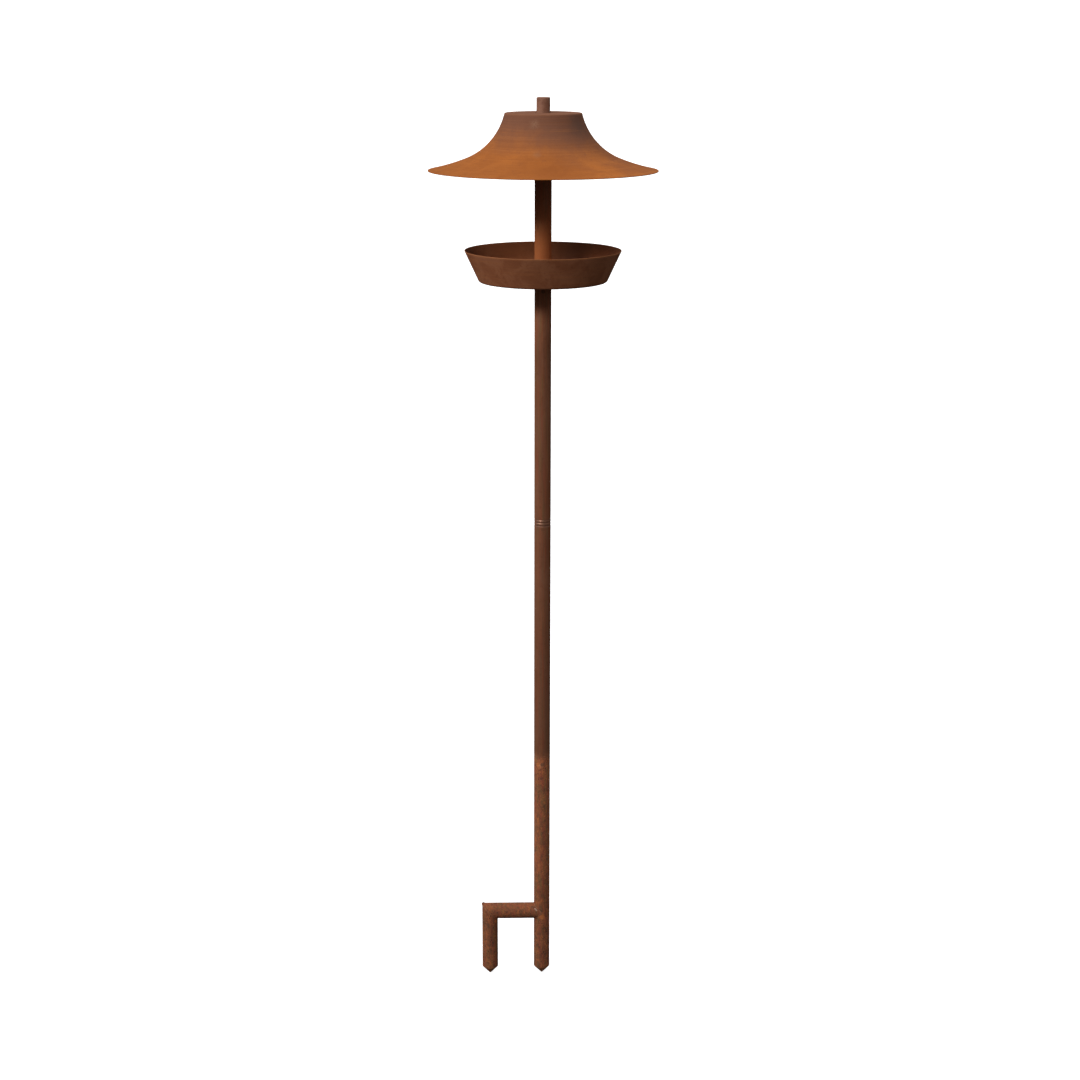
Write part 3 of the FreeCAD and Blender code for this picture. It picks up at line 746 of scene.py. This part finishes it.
def cut_with(piece, cutter):
    """Take a round bar (centre, axis, radius, length) out of a piece."""
    centre, axis, radius, length = cutter
    place = Matrix.Translation(Vector(centre) * MM)
    turn = Vector(axis).to_track_quat("Z", "Y").to_matrix().to_4x4()
    made = bmesh.new()
    bmesh.ops.create_cone(
        made, cap_ends=True, segments=HOLE_SIDES, radius1=radius * MM, radius2=radius * MM,
        depth=length * MM, matrix=place @ turn,
    )
    mesh = bpy.data.meshes.new("cutter")
    made.to_mesh(mesh)
    made.free()
    tool = bpy.data.objects.new("cutter", mesh)
    bpy.context.scene.collection.objects.link(tool)
    change = piece.modifiers.new("cut", "BOOLEAN")
    change.operation = "DIFFERENCE"
    change.solver = "EXACT"
    change.object = tool
    bpy.context.view_layer.update()
    seen = piece.evaluated_get(bpy.context.evaluated_depsgraph_get())
    result = bpy.data.meshes.new_from_object(seen)
    piece.modifiers.clear()
    old, name = piece.data, piece.data.name
    piece.data = result
    bpy.data.meshes.remove(old)
    result.name = name
    bpy.data.objects.remove(tool)
    bpy.data.meshes.remove(mesh)


# ---------------------------------------------------------------- relief, in millimetres

def half_noise(place, size, seed=0.0):
    """Smooth noise from 0 to about 1 with features of the given size."""
    return 0.5 + 0.5 * noise.noise(place / size + Vector((seed, 2 * seed, 3 * seed)))


def pit(place, size, share, seed=0.0):
    """1 in the middle of a scattered pit, 0 outside; share is how many of the cells have one."""
    distances, centres = noise.voronoi(place / size + Vector((seed, seed, seed)))
    if noise.cell(centres[0] * 9.7) > 2 * share - 1:
        return 0.0
    edge = max(0.0, 1 - distances[0] / 0.45)
    return edge * edge * (3 - 2 * edge)


def pole_relief(place):
    streak = half_noise(Vector((place.x / 1.6, place.y / 1.6, place.z / 45)), 1.0, 3)
    return 0.03 * streak + 0.03 * half_noise(place, 5) + 0.05 * pit(place, 4.5, 0.18)


def fork_relief(place):
    worn = max(min(1.0, (FORK_CALM_LOW - place.z) / 40), min(1.0, (place.z - FORK_CALM_HIGH) / 40), 0.35)
    crust = 0.07 * half_noise(place, 4.5) + 0.05 * half_noise(place, 1.5, 5)
    return crust + worn * (0.26 * pit(place, 3.4, 0.55) + 0.10 * pit(place, 1.8, 0.4, 4))


def spun_relief(place):
    """Tool marks of spinning run round the sheet; the sheet is also very slightly uneven."""
    along = math.hypot(place.x, place.y) - place.z
    wander = noise.noise(place / 40)
    ridge = 0.5 + 0.5 * math.sin(TAU * along / 2.6 + 3 * wander)
    return 0.025 * ridge + 0.10 * half_noise(place, 38) + 0.04 * half_noise(place, 7, 2)


def turned_relief(place):
    return 0.02 * (0.5 + 0.5 * math.sin(TAU * place.z / 0.9)) + 0.02 * half_noise(place, 3)


def weld_relief(place):
    return 0.06 * half_noise(place, 1.2)


# ---------------------------------------------------------------- levels and sizes

def level(node, end):
    """The lowest (0) or highest (1) level of a CAD node, in millimetres."""
    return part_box(node)[end].z / MM


def reach(node):
    """How far a CAD node stands out from its own middle, in millimetres."""
    near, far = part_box(node)
    return (far.x - near.x) / 2 / MM


TUBE = reach("upper_tube")
BORE = TUBE - 2.0
TUBE_EDGE = 0.4
PIN = BORE - 0.3
PIN_EDGE = 0.9
PLUG_WELD = 2.5
PLUG_DROP = 12.0
SHEET = 1.2
SHEET_EDGE = 0.45
PRONG_SPACING = -(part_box("fork_side_point")[0].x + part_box("fork_side_point")[1].x) / 2 / MM
POINT_SHOULDER = -73.0
POINT_TIP = 0.8
CROSSBAR = (level("fork_crossbar", 0) + level("fork_crossbar", 1)) / 2
FORK_TOP = level("fork_stem", 1)
MIDDLE_TOP = level("middle_tube", 1)
TRAY_LOW, TRAY_HIGH = level("seed_tray", 0), level("seed_tray", 1)
ROOF_LOW, ROOF_HIGH = level("roof", 0), level("roof", 1)
FORK_CALM_LOW, FORK_CALM_HIGH = 30.0, FORK_TOP - 60.0

GROOVES = 3
GROOVE_PITCH = 4.1
GROOVE_DEPTH = 0.5
GROOVE_HALF_WIDTH = 1.1

CROWN_RADIUS = 49.5
CROWN_EDGE = 1.8
UPPER_FLARE = 81.3
LOWER_FLARE = 275.7
FLARE_ANGLES = tuple(math.radians(angle) for angle in (14.3, 68.1, 78.7))
ROOF_HOLE = 10.0

TRAY_RIM_RADIUS = 101.2
TRAY_FLOOR_RADIUS = 82.6
TRAY_BEND = 2.0
TRAY_HOLE = 9.3
DRAIN = 2.0
DRAIN_CIRCLE = 58.0
DRAINS = 4
SEAT_RADIUS = 14.0

# How finely the pieces are divided: steps in millimetres along them, columns round them.
POLE_STEP, POLE_COLUMNS = 1.1, 96
FORK_STEP, FORK_COLUMNS = 0.66, 104
CROSSBAR_ROWS, PRONG_ROWS, BORE_ROWS = 96, 126, 12
PIN_COLUMNS, POINT_COLUMNS, TRAY_COLUMNS, ROOF_COLUMNS = 72, 96, 300, 400
SEAM_POINTS = 240
NUGGET_RINGS, NUGGET_SPOKES = 12, 40

# Width, height and ripple spacing of the two weld beads.
SADDLE_BEAD = (2.2, 0.45, 1.25)
MITRE_BEAD = (2.0, 0.36, 1.15)
NUGGET_CROWN, NUGGET_DIMPLE = 0.24, 0.30

MATERIALS = {
    "rust_pole": pole_rust(),
    "rust_fork": fork_rust(),
    "rust_roof": roof_rust(),
    "rust_tray": tray_rust(),
    "rust_spigot": spigot_rust(),
    "rust_weld": weld_rust(),
}


# ---------------------------------------------------------------- pole sections

def plug_holes(top):
    return [((0, 0, top - PLUG_DROP), (0, 1, 0), PLUG_WELD, 4 * TUBE)]


def make_tube(node, step, segments, relief, ringed=False):
    """A drawn tube with broken edges, the plug-weld holes and, on one of them, the turned rings."""
    low, high = level(node, 0), level(node, 1)
    corners = [
        (BORE, low, 0, 12.0),
        (TUBE - TUBE_EDGE, low, 0.1, 0.4),
        (TUBE, low + TUBE_EDGE, 0.2, step),
    ]
    if ringed:
        for index in reversed(range(1, GROOVES)):
            middle = high - index * GROOVE_PITCH
            corners += [
                (TUBE, middle - GROOVE_HALF_WIDTH, 0.15, 0.25),
                (TUBE - GROOVE_DEPTH, middle, 0.15, 0.25),
                (TUBE, middle + GROOVE_HALF_WIDTH, 0.15, 0.35),
            ]
        corners += [
            (TUBE, high - GROOVE_HALF_WIDTH, 0.15, 0.25),
            (TUBE - GROOVE_DEPTH, high, 0.1, 2.0),
        ]
    else:
        corners += [
            (TUBE, high - TUBE_EDGE, 0.2, 0.4),
            (TUBE - TUBE_EDGE, high, 0.1, 2.0),
        ]
    corners.append((BORE, high, 0, 12.0))
    # The bore and the end faces stay plain, so that the sections still fit their spigots.
    def skin(place):
        if math.hypot(place.x, place.y) < TUBE - 0.7 * TUBE_EDGE:
            return 0.0
        return relief(place)
    add_piece(node, lathe(outline(corners), segments), skin, plug_holes(high))


def make_spigot(node, shoulder):
    """A turned pin: the thicker end is pressed into its tube and the thinner end stands proud."""
    low, high = level(node, 0), level(node, 1)
    corners = [
        (0, low, 0, 3.0),
        (BORE - PIN_EDGE, low, 0.1, 0.5),
        (BORE, low + PIN_EDGE, 0.2, 2.0),
        (BORE, shoulder, 0, 0.3),
        (PIN, shoulder, 0, 0.3),
        (PIN, high - PIN_EDGE, 0.3, 0.3),
        (PIN - PIN_EDGE, high, 0.3, 1.0),
        (0, high, 0, 1.0),
    ]
    def skin(place):
        return turned_relief(place) if place.z > shoulder + 0.5 else 0.0
    add_piece(node, lathe(outline(corners), PIN_COLUMNS), skin)


def plug_weld(shoulder, side):
    """One weld nugget on the given side of the pole: a low dome with a sunk middle."""
    rings, spokes = NUGGET_RINGS, NUGGET_SPOKES
    centre = shoulder - PLUG_DROP
    points = []
    for surface in (TUBE, BORE):
        for ring in range(rings + 1):
            away = PLUG_WELD * ring / rings
            share = away / PLUG_WELD
            crown = NUGGET_CROWN * math.sqrt(max(0.0, 1 - share ** 4))
            crown -= NUGGET_DIMPLE * math.exp(-((share / 0.38) ** 2))
            crown += 0.03 * math.cos(TAU * share * 3)
            for spoke in range(spokes):
                angle = TAU * spoke / spokes
                x, z = away * math.cos(angle), away * math.sin(angle)
                lift = crown if surface == TUBE else 0.0
                points.append((x, side * (math.sqrt(surface ** 2 - x ** 2) + lift), centre + z))
    faces = []
    layer = (rings + 1) * spokes
    for start in (0, layer):
        for ring in range(rings):
            first, second = start + ring * spokes, start + (ring + 1) * spokes
            for spoke in range(spokes):
                after = (spoke + 1) % spokes
                faces.append((first + spoke, first + after, second + after, second + spoke))
    edge = rings * spokes
    for spoke in range(spokes):
        after = (spoke + 1) % spokes
        faces.append((edge + spoke, edge + after, layer + edge + after, layer + edge + spoke))
    return points, faces


def make_plug_welds(node, shoulder):
    piece = add_piece(node, joined(plug_weld(shoulder, -1), plug_weld(shoulder, 1)))
    made = bmesh.new()
    made.from_mesh(piece.data)
    bmesh.ops.remove_doubles(made, verts=made.verts, dist=0.001 * MM)
    made.to_mesh(piece.data)
    made.free()


# ---------------------------------------------------------------- ground fork

def make_crossbar():
    def saddle(angle, radius):
        return math.sqrt(TUBE ** 2 - (radius * math.sin(angle)) ** 2)

    def mitre(angle, radius):
        return PRONG_SPACING + radius * math.cos(angle)

    shape = pipe(
        Vector((0, 0, CROSSBAR)), Vector((-1, 0, 0)), Vector((0, 0, 1)), (TUBE, BORE),
        saddle, mitre, FORK_COLUMNS, (CROSSBAR_ROWS, BORE_ROWS),
    )
    add_piece("fork_crossbar", shape, outer_only(fork_relief, Vector((0, 0, CROSSBAR)), Vector((1, 0, 0))))


def make_side_prong():
    bottom = level("fork_side_prong", 0)

    def mitre(angle, radius):
        return radius * math.cos(angle) - CROSSBAR

    def square(angle, radius):
        return -bottom

    base = Vector((-PRONG_SPACING, 0, 0))
    shape = pipe(
        base, Vector((0, 0, -1)), Vector((1, 0, 0)), (TUBE, BORE),
        mitre, square, FORK_COLUMNS, (PRONG_ROWS, BORE_ROWS),
    )
    add_piece("fork_side_prong", shape, outer_only(fork_relief, base, Vector((0, 0, 1))))


def outer_only(relief, base, axis):
    """Keep the relief to a tube's outer skin."""
    def skin(place):
        spoke = (place - base) - axis * (place - base).dot(axis)
        return relief(place) if spoke.length > TUBE - 0.1 else 0.0
    return skin


def make_point(node, across):
    """A turned 45 degree point with its plug inside the prong."""
    low, high = level(node, 0), level(node, 1)
    cone = TUBE - POINT_TIP
    corners = [
        (0, low, 0, 0.3),
        (POINT_TIP, low, 0.3, 0.6),
        (TUBE, low + cone + POINT_TIP, 0.3, 0.5),
        (BORE, low + cone + POINT_TIP, 0, 2.0),
        (BORE, high, 0.4, 2.0),
        (0, high, 0, 2.0),
    ]
    def skin(place):
        return fork_relief(place) if place.z < low + cone + 0.6 else 0.0
    add_piece(node, lathe(outline(corners), POINT_COLUMNS, across), skin)


def make_fork_welds():
    """Beads along the saddle seam at the stem and along the mitre seam at the corner."""
    saddle, saddle_out, mitre, mitre_out = [], [], [], []
    for index in range(SEAM_POINTS):
        angle = TAU * index / SEAM_POINTS
        rise, side = TUBE * math.cos(angle), TUBE * math.sin(angle)
        near = -math.sqrt(rise ** 2 + 0.6)
        saddle.append(Vector((near, side, CROSSBAR + rise)))
        saddle_out.append(Vector((near, 2 * side, rise)).normalized())
        mitre.append(Vector((-PRONG_SPACING - rise, side, CROSSBAR + rise)))
        mitre_out.append(Vector((-rise, 2 * side, rise)).normalized())
    add_piece("fork_crossbar_weld", bead(saddle, saddle_out, *SADDLE_BEAD), weld_relief)
    add_piece("fork_corner_weld", bead(mitre, mitre_out, *MITRE_BEAD), weld_relief)


# ---------------------------------------------------------------- tray and roof

def make_tray():
    lean = math.atan2(TRAY_RIM_RADIUS - TRAY_FLOOR_RADIUS, TRAY_HIGH - TRAY_LOW)
    wall = SHEET / math.cos(lean)
    corners = [
        (TRAY_HOLE, TRAY_LOW, 0.2, 3.0),
        (TRAY_FLOOR_RADIUS, TRAY_LOW, TRAY_BEND + SHEET, 0.7),
        (TRAY_RIM_RADIUS, TRAY_HIGH, SHEET_EDGE, 0.3),
        (TRAY_RIM_RADIUS - wall, TRAY_HIGH, SHEET_EDGE, 0.9),
        (TRAY_FLOOR_RADIUS - wall + SHEET * math.tan(lean), TRAY_LOW + SHEET, TRAY_BEND, 2.0),
        (TRAY_HOLE, TRAY_LOW + SHEET, 0.2, 0.4),
    ]
    drains = []
    for index in range(DRAINS):
        angle = TAU * index / DRAINS
        centre = (DRAIN_CIRCLE * math.cos(angle), DRAIN_CIRCLE * math.sin(angle), TRAY_LOW)
        drains.append((centre, (0, 0, 1), DRAIN, 10.0))
    add_piece("seed_tray", lathe(outline(corners), TRAY_COLUMNS), seat_clear(spun_relief), drains)


def seat_clear(relief):
    """Leave the flat ring round the centre hole plain, because a tube's end seats on it."""
    def skin(place):
        return relief(place) if math.hypot(place.x, place.y) > SEAT_RADIUS else 0.0
    return skin


def roof_outline():
    """Crown, rounded crown edge and two tangent concave arcs, then the same back along the inside."""
    start, middle, end = FLARE_ANGLES
    corner = (CROWN_RADIUS - CROWN_EDGE, ROOF_HIGH - CROWN_EDGE)
    outward = math.pi
    first = (
        corner[0] + (CROWN_EDGE + UPPER_FLARE) * math.cos(start),
        corner[1] + (CROWN_EDGE + UPPER_FLARE) * math.sin(start),
    )
    change = LOWER_FLARE - UPPER_FLARE
    second = (first[0] + change * math.cos(middle), first[1] + change * math.sin(middle))
    outside = run((ROOF_HOLE, ROOF_HIGH), (corner[0], ROOF_HIGH), 1.5)
    outside += sweep(corner, CROWN_EDGE, math.pi / 2, start, 0.3)
    outside += sweep(first, UPPER_FLARE, outward + start, outward + middle, 0.8)[1:]
    outside += sweep(second, LOWER_FLARE, outward + middle, outward + end, 0.8)[1:]
    inside = sweep(second, LOWER_FLARE + SHEET, outward + end, outward + middle, 1.6)
    inside += sweep(first, UPPER_FLARE + SHEET, outward + middle, outward + start, 1.6)[1:]
    inside += sweep(corner, CROWN_EDGE - SHEET, start, math.pi / 2, 0.3)
    inside += [(ROOF_HOLE + 4, ROOF_HIGH - SHEET), (ROOF_HOLE, ROOF_HIGH - SHEET)]
    rim = soft_rim(outside[-2], outside[-1], inside[0], inside[1])
    return outside[:-1] + rim + inside[1:]


def soft_rim(before, outer, inner, after):
    """Round the two edges of the sheet at its rim."""
    return (
        rounded(move(outer, before, 3 * SHEET_EDGE), outer, inner, SHEET_EDGE)
        + rounded(outer, inner, move(inner, after, 3 * SHEET_EDGE), SHEET_EDGE)
    )


def move(point, towards, distance):
    span = math.dist(point, towards)
    return tuple(a + (b - a) * distance / span for a, b in zip(point, towards))


def make_roof():
    add_piece("roof", lathe(roof_outline(), ROOF_COLUMNS), seat_clear(spun_relief))


# ---------------------------------------------------------------- put it together

make_tube("fork_stem", FORK_STEP, FORK_COLUMNS, fork_relief)
make_tube("middle_tube", POLE_STEP, POLE_COLUMNS, pole_relief, ringed=True)
make_tube("upper_tube", POLE_STEP, POLE_COLUMNS, pole_relief)
make_tube("top_tube", POLE_STEP, POLE_COLUMNS, pole_relief)
for section in ("fork", "middle", "upper", "top"):
    tube_node = "fork_stem" if section == "fork" else f"{section}_tube"
    shoulder = level(tube_node, 1)
    make_spigot(f"{section}_spigot", shoulder)
    make_plug_welds(f"{section}_plug_welds", shoulder)
make_crossbar()
make_side_prong()
make_point("fork_stem_point", 0.0)
make_point("fork_side_point", -PRONG_SPACING)
make_fork_welds()
make_tray()
make_roof()

bpy.context.scene.view_settings.view_transform = "Standard"
make_camera()
make_stage()
for sun, settings in SUNS.items():
    make_sun(sun, **settings)
make_world()
